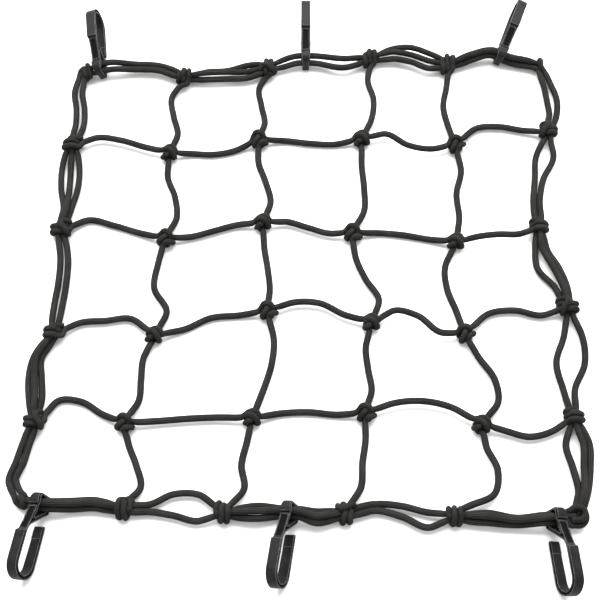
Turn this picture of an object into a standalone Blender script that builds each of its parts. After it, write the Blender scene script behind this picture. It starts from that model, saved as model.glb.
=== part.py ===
"""A slack cargo net of round shock cord, with six moulded J hooks clasped on its edges.

The net lies flat on a surface: +X is along its width, +Y is towards its far edge, +Z is up and the
surface is at z = 0. All sizes below are in millimetres, and the finished objects are in metres.
"""
import math
from itertools import combinations

import bmesh
import bpy
from mathutils import Matrix, Vector
from mathutils.geometry import interpolate_bezier

MM = 0.001

# ---- driving sizes -------------------------------------------------------------------------------
CORD_DIAMETER = 4.8        # round elastic cord, sheath included
CORD_SIDES = 6
TUBE_STEP = 11.0           # length of one straight piece of the modelled cord
KNOT_HEIGHT = 6.5          # a knot's centre above the surface
MESH_REACH = 7.2           # from a knot's centre to where its strands leave it
EDGE_REACH = 8.0           # the same on the edges, where five or six strands leave
LEAD_ANGLE = 41            # degrees between two strands that leave one knot
STRAND_PITCH = 5.8         # two strands side by side, centre to centre
UP_LIMIT = 0.75            # the steepest rise at which a strand leaves a knot
DOWN_LIMIT = -0.18         # and the steepest fall
SPREAD_ROUNDS = 400
SHARES = (0.25, 0.5, 0.75)  # the places along a strand that the tables below give

HOOK_WIDTH = 8.0           # the moulded band
HOOK_THICK = 3.4
HOOK_HEIGHT = 24.0         # over the J, outside
HOOK_FAR = 57.5            # from the eye's centre to the outside of the far bend
HOOK_TIP = 15.0            # from the eye's centre to the end of the lower arm
HOOK_EDGE = 0.5            # rounding of the band's long edges
TIP_SLANT = 0.8            # how far the tip's end slants back at its top
BEND_STEPS = 9             # straight pieces around the inside of the far bend
EYE_HEIGHT = 8.0           # the eye's centre above the foot of a hook that stands straight
STRAND_EXIT = 5.6          # half the length over which the strands run straight through the eye
EYE_CLEAR = 14.0           # a bundle's own shape begins this far from the eye's centre
KNOT_CLEAR = 11.0          # a strand's route through the eye begins this far from a knot

# The plan middle of net and hooks in the tables' coordinates, which becomes the origin.
MIDDLE = Vector((-4.2, 3.1, 0))

# ---- knots: plan position of each, a row per row of the net, far row first ------------------------
#   column:   1            2            3            4            5            6
KNOTS = (
    ((-194, 195), (-105, 190), (-34, 200), (55, 210), (122, 203), (200, 203)),
    ((-198, 120), (-116, 113), (-42, 126), (45, 127), (123, 121), (202, 134)),
    ((-201, 39), (-116, 31), (-37, 46), (35, 36), (119, 28), (187, 41)),
    ((-199, -54), (-120, -55), (-33, -34), (49, -44), (121, -54), (204, -31)),
    ((-207, -127), (-140, -128), (-43, -124), (42, -120), (130, -129), (200, -124)),
    ((-211, -190), (-137, -195), (-62, -198), (27, -198), (107, -200), (195, -201)),
)

# ---- single strands inside the net ----------------------------------------------------------------
# Each entry is (quarter, half, three_quarter, lift): how far the strand bows sideways from the
# straight line between its knots, and how high its centre lies. Across: a row per knot row 2 to 5,
# bowing towards +Y. Down: a row per column 2 to 5, from the far edge, bowing towards +X.
ACROSS = (
    ((10, 9, 4, 6), (-2, -6, -5, 3), (1, -2, -3, 3), (6, -4, -6, 7), (15, 13, 6, 4)),
    ((13, 10, 5, 3), (-1, 1, 3, 4), (4, 1, -2, 5), (4, 4, 2, 3), (0, -1, -4, 9)),
    ((11, 13, 15, 4), (1, 6, 3, 3), (10, 12, 4, 6), (12, 10, -2, 8), (13, 10, 0, 4)),
    ((19, 18, 8, 3), (1, 2, 2, 5), (4, 4, 1, 3), (10, 14, 11, 7), (-6, -12, -9, 5)),
)
DOWN = (
    ((-9, -4, 3, 4), (-1, 6, 8, 3), (-4, -5, 7, 3), (-3, 1, 5, 4), (4, 10, 13, 4)),
    ((-6, -2, 3, 3), (-1, 4, 7, 4), (0, 2, 3, 3), (8, 9, 5, 4), (1, 2, 9, 5)),
    ((-1, 6, 6, 4), (2, 6, 8, 3), (-1, 3, 10, 4), (-3, 0, 4, 3), (4, 5, 7, 5)),
    ((-3, -7, -4, 3), (5, 1, 3, 4), (-10, -10, -4, 3), (8, 17, 16, 4), (8, 21, 24, 6)),
)

# ---- bundles along the edges ----------------------------------------------------------------------
# count: strands; bow: of the bundle's middle at a quarter, half and three quarters of the way;
# gap: between its two outer strands there; lift: height of those two.
#   count  bow                  gap                lift
FAR_EDGE = (
    (2, (5.1, 8.2, 7.7), (6.3, 6.5, 6.0), 7),
    (3, (-0.5, -2.0, -1.1), (8.0, 8.7, 13.3), 6),
    (2, (6.2, 1.8, -2.7), (6.5, 8.5, 9.5), 7),
    (3, (6.0, 7.4, 2.3), (10.0, 15.2, 16.0), 7),
    (3, (7.7, 11.5, 7.5), (6.8, 7.2, 13.0), 7),
)
NEAR_EDGE = (
    (2, (-1.5, 1.0, 2.8), (6.0, 6.3, 6.0), 8),
    (2, (1.7, 5.1, 3.4), (6.0, 16.2, 19.8), 5),
    (3, (0.0, -0.9, -3.7), (9.3, 7.0, 8.5), 8),
    (2, (5.1, 2.7, -3.4), (5.6, 8.0, 11.2), 5),
    (3, (-1.6, -4.0, -3.1), (7.8, 5.8, 5.8), 7),
)
LEFT_EDGE = (
    (2, (-2.0, 2.0, 3.2), (7.3, 7.8, 7.6), 5),
    (3, (0.9, 2.1, 2.5), (14.3, 13.8, 7.0), 4),
    (2, (4.0, 4.1, 1.8), (7.0, 7.2, 7.3), 5),
    (3, (-8.7, -7.3, -3.5), (8.5, 7.0, 9.0), 4),
    (2, (-3.7, -6.3, -9.6), (6.0, 6.7, 5.8), 5),
)
RIGHT_EDGE = (
    (2, (5.0, 7.6, 6.5), (7.0, 8.7, 7.0), 4),
    (2, (-0.5, -3.6, -3.7), (14.5, 7.7, 6.0), 5),
    (3, (-3.9, -3.7, 1.0), (9.3, 17.5, 9.5), 4),
    (2, (3.0, 0.0, -2.2), (14.0, 22.0, 8.5), 4),
    (3, (2.3, 4.7, 5.3), (17.5, 13.0, 7.6), 4),
)

# edge name, way it bows, row or column of its knots, bundles
EDGES = (
    ("far", Vector((0, 1, 0)), 0, FAR_EDGE),
    ("near", Vector((0, 1, 0)), 5, NEAR_EDGE),
    ("left", Vector((1, 0, 0)), 0, LEFT_EDGE),
    ("right", Vector((1, 0, 0)), 5, RIGHT_EDGE),
)

# ---- hooks ----------------------------------------------------------------------------------------
# edge, span: which bundle the hook holds; eye: plan position of the eye's centre; heading: degrees
# from +X that the hook points; lean: degrees that its top tips over to its left, seen from the net.
HOOKS = (
    {"edge": "far", "span": 0, "eye": (-179.5, 198), "heading": 97, "lean": 16},
    {"edge": "far", "span": 2, "eye": (-2, 208), "heading": 90, "lean": 0},
    {"edge": "far", "span": 4, "eye": (167, 212), "heading": 69, "lean": -12},
    {"edge": "near", "span": 0, "eye": (-196, -192), "heading": 260, "lean": -22},
    {"edge": "near", "span": 2, "eye": (-14, -198), "heading": 261, "lean": -23},
    {"edge": "near", "span": 4, "eye": (178, -203), "heading": 275, "lean": 24},
)
# The band's side view: points outward along the hook, then up, from the eye's centre.
SHOULDER = ((24.0, 16.0), (21.5, 14.8))
CATCH_BLOCK = ((2.0, 9.4), (2.0, 10.8), (-7.4, 10.8), (-8.7, 9.4))
UNDER_STRAP = ((-8.7, -5.4), (-7.0, -7.3), (5.6, -7.3))
THROAT = ((18.2, 9.6), (20.2, 11.8), (24.0, 12.6))
EYE_HOLE = ((-5.5, -3.6), (-4.8, -4.3), (4.2, -4.3), (13.0, 7.4), (12.2, 8.1), (1.5, 6.2), (-5.5, 6.2))
# Strand centres in the eye, measured the same way.
EYE_SEATS = {
    2: ((-2.8, -1.6), (2.9, 1.0)),
    3: ((-2.8, -1.6), (2.7, -1.6), (-0.2, 3.3)),
}

# ---- the surface of a knot: rings of points around its centre --------------------------------------
# elevation and first azimuth in degrees; swell: how far each point in turn stands out
KNOT_RINGS = (
    {"elevation": 68, "azimuth": 20, "swell": (0.98, 0.84, 0.92)},
    {"elevation": 38, "azimuth": 12, "swell": (1.08, 0.90, 1.10, 0.92, 1.04, 0.88)},
    {"elevation": -40, "azimuth": 40, "swell": (1.0, 0.94, 1.04, 0.96, 1.0, 0.94)},
)
LOBE_SWELL = (1.10, 1.04)  # the cord's turns that bulge between two strands, in turn
LOBE_ELEVATION = 6
LOBE_ROOM = 55             # degrees of room that each such turn takes
LEAD_ROOM = 27             # degrees kept free around a strand
FOOT_RADIUS = 3.3          # the flat on which a knot rests
FOOT_POINTS = 5


# ---- strands: where each one runs -----------------------------------------------------------------
def knot_point(knot):
    row, column = knot
    x, y = KNOTS[row][column]
    return Vector((x, y, KNOT_HEIGHT)) - MIDDLE


def waypoint(start, end, share, bow_way, bow, height):
    """The point a share of the way between two knots, moved sideways, at its own height."""
    point = start.lerp(end, share) + bow_way * bow
    point.z = height
    return point


def hook_axes(hook):
    """The eye's centre and the hook's outward, up and side directions."""
    lean = math.radians(hook["lean"])
    turn = Matrix.Rotation(math.radians(hook["heading"]), 3, "Z") @ Matrix.Rotation(-lean, 3, "X")
    rise = EYE_HEIGHT * math.cos(lean) + HOOK_WIDTH / 2 * math.sin(abs(lean))
    centre = Vector((*hook["eye"], rise)) - MIDDLE
    return centre, turn.col[0].copy(), turn.col[2].copy(), turn.col[1].copy()


def bundle_routes(edge, span, start, end, bow_way, bundle):
    """The waypoints of each strand of one edge bundle, through the eye of a hook that holds it."""
    count, bows, gaps, lift = bundle
    hook = next((h for h in HOOKS if (h["edge"], h["span"]) == (edge, span)), None)
    routes = []
    for strand in range(count):
        side = (-0.5, 0.5, 0.0)[strand]
        route = []
        for share, bow, gap in zip(SHARES, bows, gaps):
            rise = 0.0
            if strand == 2:
                rise = math.sqrt(max(0.0, STRAND_PITCH ** 2 - (gap / 2) ** 2))
            route.append(waypoint(start, end, share, bow_way, bow + side * gap, lift + rise))
        if hook:
            route = through_eye(route, hook, strand, count, start, end, bow_way)
        routes.append(route)
    return routes


def through_eye(route, hook, strand, count, start, end, bow_way):
    """Lead a strand straight through its seat in the hook's eye."""
    centre, outward, up, side = hook_axes(hook)
    along = (end - start).normalized()
    if side.dot(along) < 0:
        side = -side
    seats = EYE_SEATS[count]
    if strand < 2 and outward.dot(bow_way) < 0:
        strand = 1 - strand
    seat_out, seat_up = seats[strand]
    seat = centre + outward * seat_out + up * seat_up
    passing = [seat + side * shift for shift in (-STRAND_EXIT, 0.0, STRAND_EXIT)]
    clear_of_knots = [p for p in passing if min((p - start).length, (p - end).length) > KNOT_CLEAR]
    free = [p for p in route if abs((p - centre).dot(along)) > EYE_CLEAR]
    return sorted(free + clear_of_knots, key=lambda p: (p - start).dot(along))


def all_strands():
    """Every strand of the net as (first knot, last knot, waypoints between them)."""
    strands = []
    for row, spans in enumerate(ACROSS, start=1):
        for column, span in enumerate(spans):
            strands.append(((row, column), (row, column + 1), Vector((0, 1, 0)), span))
    for column, spans in enumerate(DOWN, start=1):
        for row, span in enumerate(spans):
            strands.append(((row, column), (row + 1, column), Vector((1, 0, 0)), span))
    found = []
    for first, last, bow_way, (*bows, lift) in strands:
        start, end = knot_point(first), knot_point(last)
        route = [waypoint(start, end, share, bow_way, bow, lift)
                 for share, bow in zip(SHARES, bows)]
        found.append((first, last, route))
    for edge, bow_way, line, bundles in EDGES:
        for span, bundle in enumerate(bundles):
            first = (line, span) if edge in ("far", "near") else (span, line)
            last = (line, span + 1) if edge in ("far", "near") else (span + 1, line)
            start, end = knot_point(first), knot_point(last)
            for route in bundle_routes(edge, span, start, end, bow_way, bundle):
                found.append((first, last, route))
    return found


def reach(knot):
    on_edge = 0 in knot or 5 in knot
    return EDGE_REACH if on_edge else MESH_REACH


def spread_leads(leads):
    """Turn the directions in which strands leave a knot apart until each pair has room."""
    least = math.radians(LEAD_ANGLE)
    for _ in range(SPREAD_ROUNDS):
        for a, b in combinations(range(len(leads)), 2):
            angle = leads[a].angle(leads[b])
            if angle < least:
                axis = leads[a].cross(leads[b]).normalized()
                push = (least - angle) / 4
                leads[a] = Matrix.Rotation(-push, 3, axis) @ leads[a]
                leads[b] = Matrix.Rotation(push, 3, axis) @ leads[b]
        for lead in leads:
            lead.z = min(max(lead.z, DOWN_LIMIT), UP_LIMIT)
            lead.normalize()
    return leads


def smooth_path(points, first_way, last_way):
    """Points on a smooth curve through the given ones, leaving and arriving in the given ways."""
    ways = [first_way]
    for before, here, after in zip(points, points[1:], points[2:]):
        near, far = (here - before).length, (after - here).length
        ways.append(((here - before) / near * far + (after - here) / far * near) / (near + far))
    ways.append(last_way)
    path = [points[0]]
    for here, there, way, next_way in zip(points, points[1:], ways, ways[1:]):
        length = (there - here).length
        steps = max(1, round(length / TUBE_STEP))
        piece = interpolate_bezier(here, here + way * length / 3,
                                   there - next_way * length / 3, there, steps + 1)
        path.extend(piece[1:])
    return path


# ---- the net: six-sided tubes grown together at the knots ------------------------------------------
def ring(bm, centre, way):
    """A level ring of vertices around a cord that runs in the given way."""
    level = Vector((0, 0, 1)).cross(way).normalized()
    upright = way.cross(level).normalized()
    radius = CORD_DIAMETER / 2
    turns = [2 * math.pi * side / CORD_SIDES for side in range(CORD_SIDES)]
    return [bm.verts.new((centre + (level * math.cos(t) + upright * math.sin(t)) * radius) * MM)
            for t in turns]


def skin(bm, rings):
    for here, there in zip(rings, rings[1:]):
        for side in range(CORD_SIDES):
            follow = (side + 1) % CORD_SIDES
            bm.faces.new((here[side], here[follow], there[follow], there[side]))


def way_to(azimuth, elevation):
    flat = math.cos(elevation)
    return Vector((flat * math.cos(azimuth), flat * math.sin(azimuth), math.sin(elevation)))


def knot_ways(leads):
    """Directions and swells of a knot's surface points, clear of the strands that leave it."""
    ways = []
    for band in KNOT_RINGS:
        count = len(band["swell"])
        for step, swell in enumerate(band["swell"]):
            azimuth = math.radians(band["azimuth"] + 360 * step / count)
            ways.append((way_to(azimuth, math.radians(band["elevation"])), swell))
    azimuths = sorted(math.atan2(lead.y, lead.x) for lead in leads)
    for here, there in zip(azimuths, azimuths[1:] + [azimuths[0] + 2 * math.pi]):
        lobes = int((there - here) // math.radians(LOBE_ROOM))
        for lobe in range(lobes):
            azimuth = here + (there - here) * (lobe + 1) / (lobes + 1)
            swell = LOBE_SWELL[len(ways) % len(LOBE_SWELL)]
            ways.append((way_to(azimuth, math.radians(LOBE_ELEVATION)), swell))
    room = math.radians(LEAD_ROOM)
    return [(way, swell) for way, swell in ways if all(way.angle(lead) > room for lead in leads)]


def add_knot(bm, centre, reach_out, leads, mouths):
    """Close the ends of the strands that meet at one knot with a lobed, flat-footed body."""
    ball = math.hypot(reach_out, CORD_DIAMETER / 2)
    moves = {}
    for way, swell in knot_ways(leads):
        vertex = bm.verts.new((centre + way * ball) * MM)
        moves[vertex] = (centre + way * ball * swell) * MM
    foot_drop = math.sqrt(ball ** 2 - FOOT_RADIUS ** 2)
    for step in range(FOOT_POINTS):
        azimuth = 2 * math.pi * step / FOOT_POINTS
        spot = Vector((math.cos(azimuth), math.sin(azimuth), 0)) * FOOT_RADIUS
        vertex = bm.verts.new((centre + spot - Vector((0, 0, foot_drop))) * MM)
        moves[vertex] = Vector((centre.x + spot.x, centre.y + spot.y, 0)) * MM
    corners = [vertex for mouth in mouths for vertex in mouth]
    hull = bmesh.ops.convex_hull(bm, input=corners + list(moves))
    caps = [item for item in hull["geom"] if isinstance(item, bmesh.types.BMFace)
            and any(set(item.verts) <= set(mouth) for mouth in mouths)]
    bmesh.ops.delete(bm, geom=caps, context="FACES_ONLY")
    for vertex, place in moves.items():
        vertex.co = place


def make_net(collection):
    """Fuse all strands and knots into one closed solid."""
    bm = bmesh.new()
    strands = all_strands()
    leads, mouths = {}, {}
    for first, last, route in strands:
        leads.setdefault(first, []).append((route[0] - knot_point(first)).normalized())
        leads.setdefault(last, []).append((route[-1] - knot_point(last)).normalized())
    for knot, ways in leads.items():
        spread_leads(ways)
        mouths[knot] = []
    taken = dict.fromkeys(leads, 0)
    for first, last, route in strands:
        start_way = leads[first][taken[first]]
        taken[first] += 1
        end_way = leads[last][taken[last]]
        taken[last] += 1
        start = knot_point(first) + start_way * reach(first)
        end = knot_point(last) + end_way * reach(last)
        path = smooth_path([start, *route, end], start_way, -end_way)
        courses = [start_way]
        courses += [(after - before).normalized() for before, after in zip(path, path[2:])]
        courses.append(-end_way)
        rings = [ring(bm, point, course) for point, course in zip(path, courses)]
        skin(bm, rings)
        mouths[first].append(rings[0])
        mouths[last].append(rings[-1])
    for knot, ways in leads.items():
        add_knot(bm, knot_point(knot), reach(knot), ways, mouths[knot])
    bmesh.ops.recalc_face_normals(bm, faces=bm.faces)
    mesh = bpy.data.meshes.new("net")
    bm.to_mesh(mesh)
    bm.free()
    mesh.shade_smooth()
    mesh.set_sharp_from_angle(angle=math.radians(50))
    mesh.materials.append(principled("black braided cord", "2B2A29", 0.72))
    net = bpy.data.objects.new("net", mesh)
    collection.objects.link(net)
    return net


# ---- hooks: a flat band bent into a J, with a closed eye -------------------------------------------
def arc(centre, radius, first, last, steps):
    turns = [math.radians(first + (last - first) * step / steps) for step in range(steps + 1)]
    return [(centre[0] + radius * math.cos(t), centre[1] + radius * math.sin(t)) for t in turns]


def hook_outlines():
    """The hook's side view: its rim, with the far bend as arcs, and the eye's hole."""
    foot = -EYE_HEIGHT
    radius = HOOK_HEIGHT / 2
    bend = (HOOK_FAR - radius, foot + radius)
    rim = [(HOOK_TIP, foot)]
    rim += arc(bend, radius, -90, 90, BEND_STEPS + 3)
    rim += [*SHOULDER, *CATCH_BLOCK, *UNDER_STRAP, *THROAT]
    rim += arc(bend, radius - HOOK_THICK, 90, -90, BEND_STEPS)
    rim += [(HOOK_TIP + TIP_SLANT, foot + HOOK_THICK)]
    return rim, list(EYE_HOLE)


def make_hook(collection, name, hook, material):
    curve = bpy.data.curves.new(name, "CURVE")
    curve.dimensions = "2D"
    curve.fill_mode = "BOTH"
    curve.extrude = HOOK_WIDTH / 2 * MM
    for outline in hook_outlines():
        spline = curve.splines.new("POLY")
        spline.points.add(len(outline) - 1)
        for point, (outward, up) in zip(spline.points, outline):
            point.co = (outward * MM, up * MM, 0, 1)
        spline.use_cyclic_u = True
    curve.materials.append(material)
    item = bpy.data.objects.new(name, curve)
    centre = hook_axes(hook)[0]
    item.location = centre * MM
    item.rotation_euler = (math.radians(90 - hook["lean"]), 0, math.radians(hook["heading"]))
    collection.objects.link(item)
    weld = item.modifiers.new("weld", "WELD")
    weld.merge_threshold = 0.00005
    bevel = item.modifiers.new("edge rounding", "BEVEL")
    bevel.width = HOOK_EDGE * MM
    bevel.segments = 1
    bevel.limit_method = "ANGLE"
    bevel.angle_limit = math.radians(60)
    return item


# ---- materials and assembly -----------------------------------------------------------------------
def principled(name, colour, roughness):
    """A plain Principled material; colour is an sRGB hex triplet."""
    material = bpy.data.materials.new(name)
    material.use_nodes = True
    shader = material.node_tree.nodes["Principled BSDF"]
    parts = [int(colour[start:start + 2], 16) / 255 for start in (0, 2, 4)]
    linear = [part / 12.92 if part <= 0.04045 else ((part + 0.055) / 1.055) ** 2.4 for part in parts]
    shader.inputs["Base Color"].default_value = (*linear, 1)
    shader.inputs["Roughness"].default_value = roughness
    shader.inputs["Metallic"].default_value = 0
    return material


def main():
    for item in list(bpy.data.objects):
        bpy.data.objects.remove(item, do_unlink=True)
    collection = bpy.data.collections.new("cargo net")
    bpy.context.scene.collection.children.link(collection)
    make_net(collection)
    nylon = principled("black moulded nylon", "1F1F20", 0.38)
    for number, hook in enumerate(HOOKS, start=1):
        make_hook(collection, f"hook_{number}", hook, nylon)


main()
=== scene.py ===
"""Looks of a slack cargo net: braided elastic cord tied in squares, with six moulded J hooks."""

import math
from itertools import combinations

import bmesh
import bpy
from mathutils import Matrix, Vector, noise
from mathutils.geometry import interpolate_bezier
from mathutils.kdtree import KDTree


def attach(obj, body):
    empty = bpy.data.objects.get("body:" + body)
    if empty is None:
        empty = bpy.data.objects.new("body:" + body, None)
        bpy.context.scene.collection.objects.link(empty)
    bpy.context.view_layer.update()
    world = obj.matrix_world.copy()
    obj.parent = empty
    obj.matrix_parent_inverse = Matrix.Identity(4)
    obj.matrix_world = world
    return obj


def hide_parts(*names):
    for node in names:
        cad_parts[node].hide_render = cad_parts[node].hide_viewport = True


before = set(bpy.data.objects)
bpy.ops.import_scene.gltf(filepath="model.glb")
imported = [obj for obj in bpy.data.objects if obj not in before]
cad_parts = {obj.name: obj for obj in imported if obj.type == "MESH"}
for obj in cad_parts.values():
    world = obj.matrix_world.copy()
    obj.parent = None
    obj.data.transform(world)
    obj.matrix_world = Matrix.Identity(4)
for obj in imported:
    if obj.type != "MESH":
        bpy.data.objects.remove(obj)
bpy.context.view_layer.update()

# ==== The cord net ===============================================================================
# Round shock cord, a rubber core in a woven polyester sheath, laid across, down and round the edges
# and tied at every crossing. It is soft, so each strand bows its own way and the knots squeeze it.
# All sizes are in millimetres until a mesh is made.
MM = 0.001
CORD_DIAMETER = 5.3
MIDDLE = Vector((-4.2, 3.1, 0))
KNOT_HEIGHT = 6.5
LAST = 5
# Strands leave a knot at its reach, with room between them and neither too steep nor downwards.
MESH_REACH = 7.2
EDGE_REACH = 8.0
LEAD_ANGLE = 36
UP_LIMIT = 0.75
DOWN_LIMIT = -0.18
SPREAD_ROUNDS = 400
SPREAD_PUSH = 0.25
STRAIGHTENED = 1.5
# Strands of one bundle lie a pitch apart, and where their gap is small they are pressed closer.
SHARES = (0.25, 0.5, 0.75)
STRAND_PITCH = 5.8
LOOSE_GAP = 8.0
PRESSED_IN = 0.8

# plan position of each knot, a row per row of the net, far row first, columns from the left
KNOTS = (
    ((-194, 195), (-105, 190), (-34, 200), (55, 210), (122, 203), (200, 203)),
    ((-198, 120), (-116, 113), (-42, 126), (45, 127), (123, 121), (202, 134)),
    ((-201, 39), (-116, 31), (-37, 46), (35, 36), (119, 28), (187, 41)),
    ((-199, -54), (-120, -55), (-33, -34), (49, -44), (121, -54), (204, -31)),
    ((-207, -127), (-140, -128), (-43, -124), (42, -120), (130, -129), (200, -124)),
    ((-211, -190), (-137, -195), (-62, -198), (27, -198), (107, -200), (195, -201)),
)
# Single strands: sideways bow at a quarter, half and three quarters of the way, then the height.
# Across: a row per knot row 2 to 5, bowing towards +Y. Down: a row per column 2 to 5, towards +X.
ACROSS = (
    ((10, 9, 4, 6), (-2, -6, -5, 3), (1, -2, -3, 3), (6, -4, -6, 7), (15, 13, 6, 4)),
    ((13, 10, 5, 3), (-1, 1, 3, 4), (4, 1, -2, 5), (4, 4, 2, 3), (0, -1, -4, 9)),
    ((11, 13, 15, 4), (1, 6, 3, 3), (10, 12, 4, 6), (12, 10, -2, 8), (13, 10, 0, 4)),
    ((19, 18, 8, 3), (1, 2, 2, 5), (4, 4, 1, 3), (10, 14, 11, 7), (-6, -12, -9, 5)),
)
DOWN = (
    ((-9, -4, 3, 4), (-1, 6, 8, 3), (-4, -5, 7, 3), (-3, 1, 5, 4), (4, 10, 13, 4)),
    ((-6, -2, 3, 3), (-1, 4, 7, 4), (0, 2, 3, 3), (8, 9, 5, 4), (1, 2, 9, 5)),
    ((-1, 6, 6, 4), (2, 6, 8, 3), (-1, 3, 10, 4), (-3, 0, 4, 3), (4, 5, 7, 5)),
    ((-3, -7, -4, 3), (5, 1, 3, 4), (-10, -10, -4, 3), (8, 17, 16, 4), (8, 21, 24, 6)),
)
# Edge bundles: number of strands; bow of the middle and gap between the outer two at a quarter,
# half and three quarters of the way; height.
FAR_EDGE = (
    (2, (5.1, 8.2, 7.7), (6.3, 6.5, 6.0), 7),
    (3, (-0.5, -2.0, -1.1), (8.0, 8.7, 13.3), 6),
    (2, (6.2, 1.8, -2.7), (6.5, 8.5, 9.5), 7),
    (3, (6.0, 7.4, 2.3), (10.0, 15.2, 16.0), 7),
    (3, (7.7, 11.5, 7.5), (6.8, 7.2, 13.0), 7),
)
NEAR_EDGE = (
    (3, (-1.9, 0.6, 2.4), (7.4, 6.9, 6.6), 6),
    (2, (1.7, 5.1, 3.4), (6.0, 16.2, 19.8), 5),
    (3, (0.0, -0.9, -3.7), (9.3, 7.0, 8.5), 8),
    (2, (5.1, 2.7, -3.4), (5.6, 8.0, 11.2), 5),
    (3, (-1.6, -4.0, -3.1), (7.8, 5.8, 5.8), 7),
)
LEFT_EDGE = (
    (2, (-2.0, 2.0, 3.2), (7.3, 7.8, 7.6), 5),
    (3, (0.9, 2.1, 2.5), (14.3, 13.8, 7.0), 4),
    (2, (4.0, 4.1, 1.8), (7.0, 7.2, 7.3), 5),
    (3, (-8.7, -7.3, -3.5), (7.0, 10.0, 9.6), 4),
    (2, (-3.7, -6.3, -9.6), (6.0, 6.7, 5.8), 5),
)
RIGHT_EDGE = (
    (2, (5.0, 7.6, 6.5), (7.0, 8.7, 7.0), 4),
    (2, (-0.5, -3.6, -3.7), (14.5, 7.7, 6.0), 5),
    (3, (-3.9, -3.7, 1.0), (9.3, 17.5, 9.5), 4),
    (2, (3.0, 0.0, -2.2), (14.0, 22.0, 8.5), 4),
    (3, (2.3, 4.7, 5.3), (17.5, 13.0, 7.6), 4),
)
# A third strand lies midway between the other two, but for these shifts, as shares of their gap.
THIRD = 2
MIDWAY = (0.0, 0.0, 0.0)
THIRD_SHIFT = {("right", 2): (0.02, 0.2, 0.05), ("right", 4): (0.2, 0.1, 0.0)}
EDGES = (
    ("far", Vector((0, 1, 0)), 0, FAR_EDGE),
    ("near", Vector((0, 1, 0)), LAST, NEAR_EDGE),
    ("left", Vector((1, 0, 0)), 0, LEFT_EDGE),
    ("right", Vector((1, 0, 0)), LAST, RIGHT_EDGE),
)
# Hooks: the bundle each one holds, the plan position of its eye, the way it points and its lean.
HOOKS = (
    {"edge": "far", "span": 0, "eye": (-179.5, 198), "heading": 97, "lean": 16},
    {"edge": "far", "span": 2, "eye": (-2, 208), "heading": 90, "lean": 0},
    {"edge": "far", "span": 4, "eye": (167, 212), "heading": 69, "lean": -12},
    {"edge": "near", "span": 0, "eye": (-196, -192), "heading": 260, "lean": -22},
    {"edge": "near", "span": 2, "eye": (-14, -198), "heading": 261, "lean": -23},
    {"edge": "near", "span": 4, "eye": (178, -203), "heading": 275, "lean": 24},
)
HOOK_WIDTH = 8.0
EYE_HEIGHT = 8.0
STRAND_EXIT = 5.6
EYE_CLEAR = 14.0
KNOT_CLEAR = 11.0
EYE_SEATS = {
    2: ((-2.8, -1.6), (2.9, 1.0)),
    3: ((-2.8, -1.6), (2.7, -1.6), (-0.2, 3.3)),
}


def knot_point(knot):
    row, column = knot
    x, y = KNOTS[row][column]
    return Vector((x, y, KNOT_HEIGHT)) - MIDDLE


def waypoint(start, end, share, bow_way, bow, height):
    """A point at a share of the way between two knots, bowed aside and at its own height."""
    point = start.lerp(end, share) + bow_way * bow
    point.z = height
    return point


def hook_axes(hook):
    """The eye's centre and the hook's outward, up and side directions."""
    lean = math.radians(hook["lean"])
    turn = Matrix.Rotation(math.radians(hook["heading"]), 3, "Z") @ Matrix.Rotation(-lean, 3, "X")
    rise = EYE_HEIGHT * math.cos(lean) + HOOK_WIDTH / 2 * math.sin(abs(lean))
    centre = Vector((*hook["eye"], rise)) - MIDDLE
    return centre, turn.col[0].copy(), turn.col[2].copy(), turn.col[1].copy()


def through_eye(route, hook, strand, count, start, end, bow_way):
    """Lead a strand straight through its seat in the hook's eye."""
    centre, outward, up, side = hook_axes(hook)
    along = (end - start).normalized()
    if side.dot(along) < 0:
        side = -side
    seats = EYE_SEATS[count]
    if strand < THIRD and outward.dot(bow_way) < 0:
        strand = 1 - strand
    seat_out, seat_up = seats[strand]
    seat = centre + outward * seat_out + up * seat_up
    passing = [seat + side * shift for shift in (-STRAND_EXIT, 0.0, STRAND_EXIT)]
    clear_of_knots = [p for p in passing if min((p - start).length, (p - end).length) > KNOT_CLEAR]
    free = [p for p in route if abs((p - centre).dot(along)) > EYE_CLEAR]
    return sorted(free + clear_of_knots, key=lambda p: (p - start).dot(along))


def bundle_routes(edge, span, start, end, bow_way, bundle):
    """The routes of the two or three strands of an edge bundle; the third lies on the others."""
    count, bows, gaps, lift = bundle
    hook = next((h for h in HOOKS if (h["edge"], h["span"]) == (edge, span)), None)
    shifts = THIRD_SHIFT.get((edge, span), MIDWAY)
    routes = []
    for strand in range(count):
        route = []
        for share, bow, gap, shift in zip(SHARES, bows, gaps, shifts):
            gap -= PRESSED_IN * (gap < LOOSE_GAP)
            side = (-0.5, 0.5, shift)[strand]
            rise = 0.0
            if strand == THIRD:
                beside = (0.5 - shift) * gap
                rise = math.sqrt(max(0.0, STRAND_PITCH ** 2 - beside ** 2))
            route.append(waypoint(start, end, share, bow_way, bow + side * gap, lift + rise))
        if hook:
            route = through_eye(route, hook, strand, count, start, end, bow_way)
        routes.append(route)
    return routes


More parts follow.
